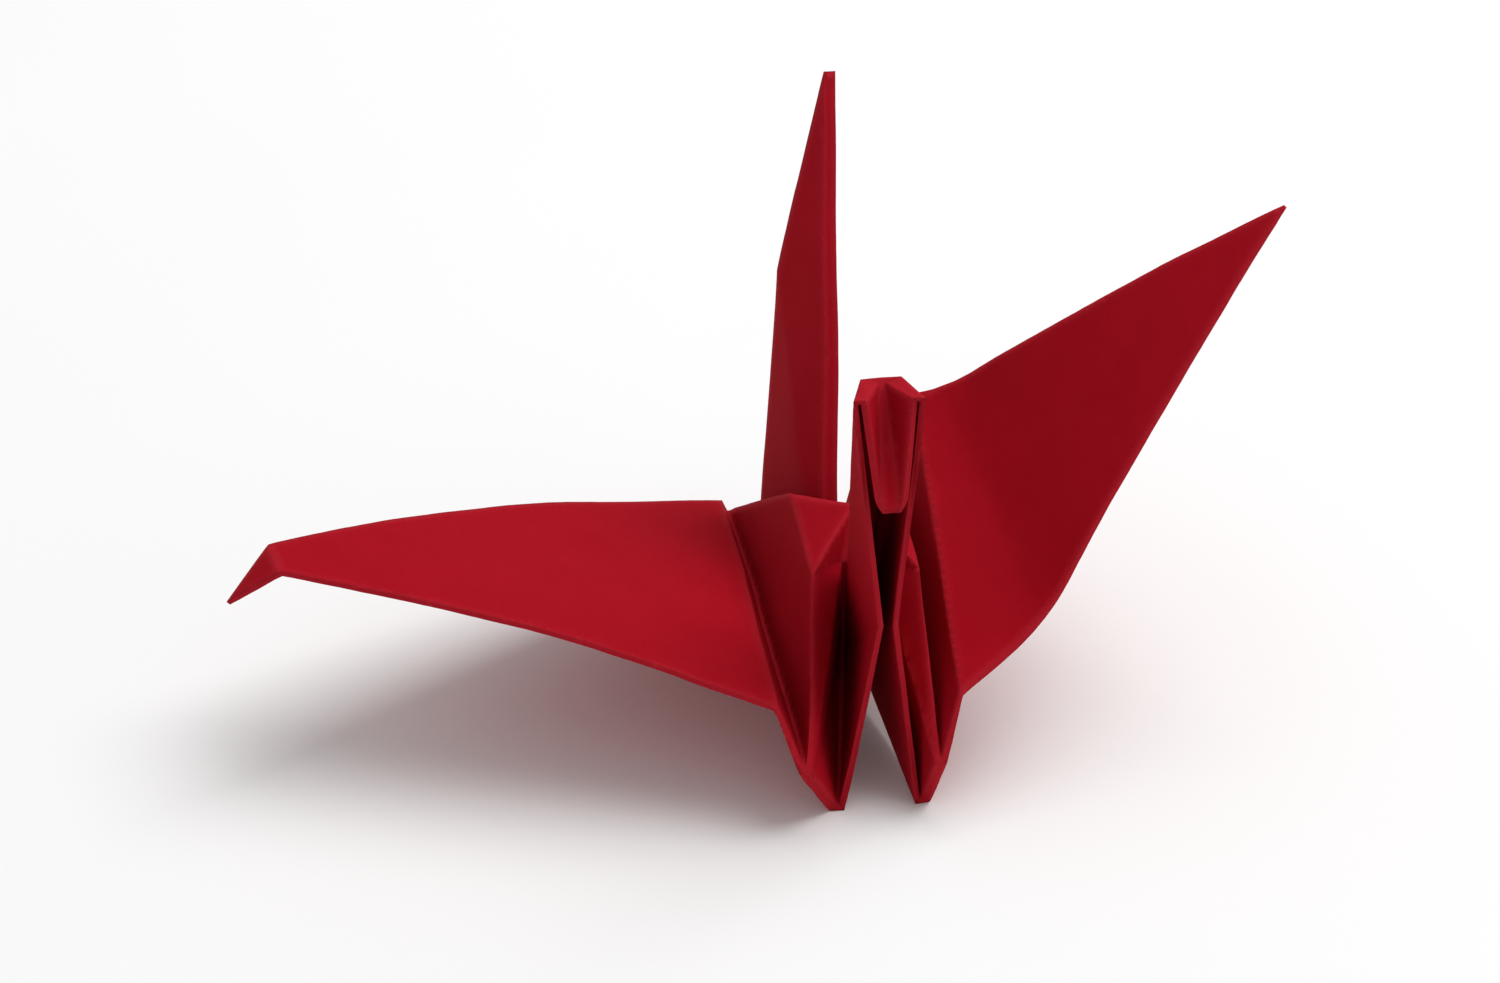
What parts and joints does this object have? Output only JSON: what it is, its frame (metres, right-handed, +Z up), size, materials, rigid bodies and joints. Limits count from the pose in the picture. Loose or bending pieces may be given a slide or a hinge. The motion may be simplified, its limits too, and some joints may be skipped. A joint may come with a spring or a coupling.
{
  "type": "origami crane",
  "caption": "Folded paper crane: a square sheet folded into spread wings, an upright neck with a turned-down head, a pointed tail and a low hump.",
  "frame": {"origin": "on the floor, under the middle of the body, where the four folded feet stand round it", "axes": "+Z up, the head and beak point along -Y, the tail lies on the +Y side, the wings spread along X"},
  "size_m": [0.0659, 0.0312, 0.036],
  "materials": {
    "red_paper": "matt solid-dyed red folding paper"
  },
  "bodies": {
    "root": {"folded_crane": "red_paper"}
  },
  "joints": []
}
